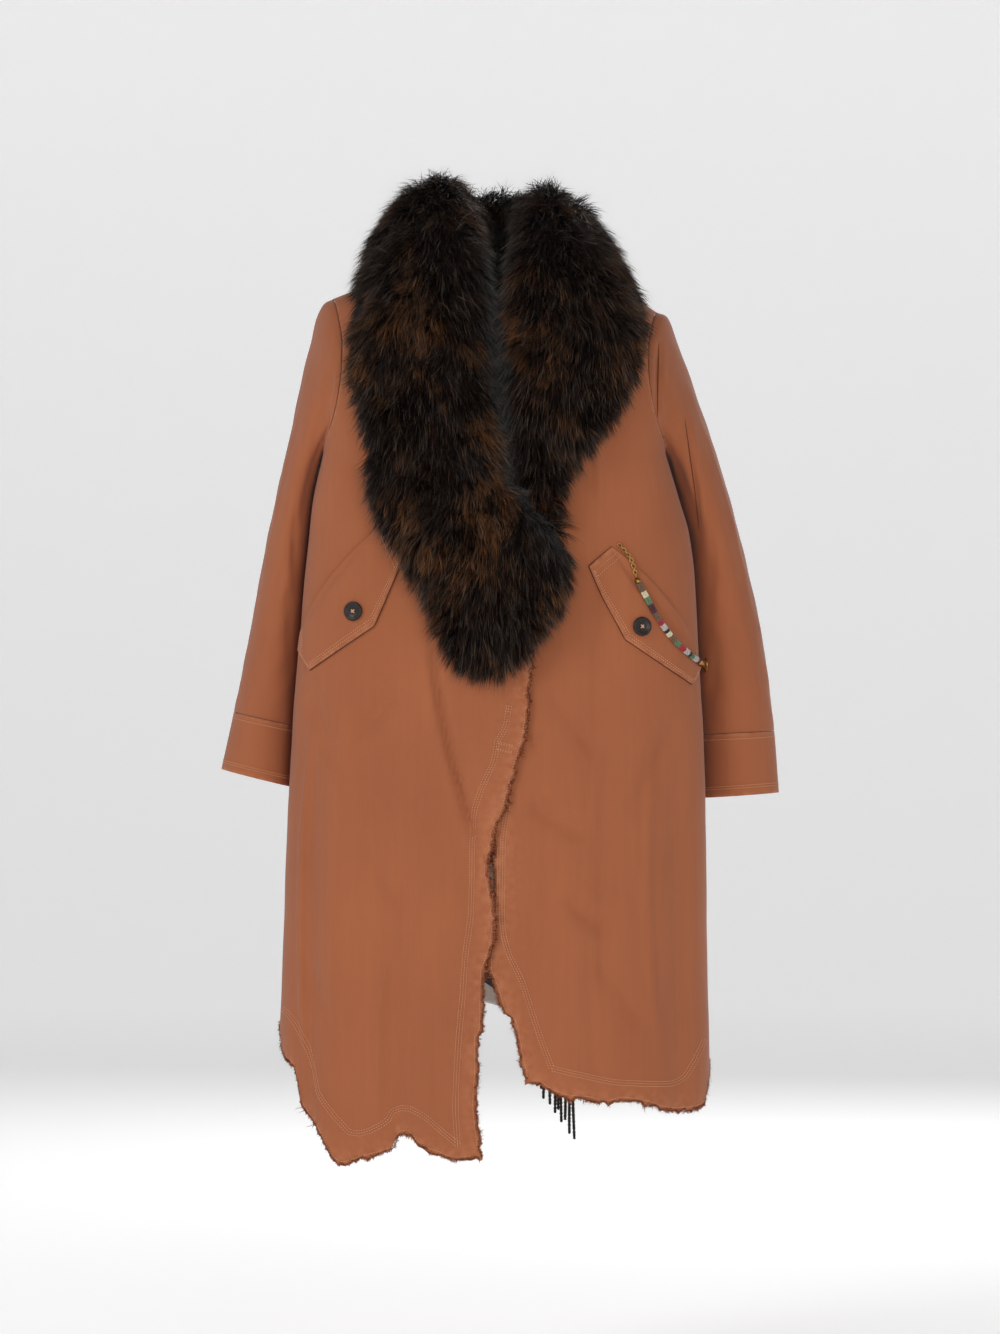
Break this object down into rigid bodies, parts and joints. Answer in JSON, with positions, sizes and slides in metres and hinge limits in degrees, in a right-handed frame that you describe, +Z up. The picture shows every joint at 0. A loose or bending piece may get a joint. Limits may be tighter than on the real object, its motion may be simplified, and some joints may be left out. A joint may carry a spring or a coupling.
{
  "type": "coat",
  "caption": "Mid-length coat with a wide fur shawl collar, slanted flap pockets, cuff bands, raw curved hem and woollen inner cloth, shaped as worn.",
  "frame": {"origin": "middle of the neck opening at the base of the neck, level with the roots of the shoulders", "axes": "+Z up along the coat's length, -Y towards its front, +X towards the coat's left side"},
  "size_m": [0.717, 0.3517, 1.2581],
  "materials": {
    "canvas": "washed cotton canvas, matte",
    "lining_wool": "herringbone wool, matte",
    "fur": "long dark fur with a soft sheen",
    "button": "satin, like horn",
    "beads": "small polished glass and shell beads",
    "chain_metal": "worn satin",
    "fringe": "twisted black wool yarn"
  },
  "bodies": {
    "root": {"front_right": "canvas", "front_left": "canvas", "back": "canvas", "back_lining": "lining_wool", "sleeve_right": "canvas", "sleeve_left": "canvas", "cuff_right": "canvas", "cuff_left": "canvas", "collar_right": "fur", "collar_left": "fur", "flap_right": "canvas", "flap_left": "canvas", "button_right": "button", "button_left": "button", "bead_strand": "beads", "bead_chain": "chain_metal", "fringe": "fringe"}
  },
  "joints": []
}
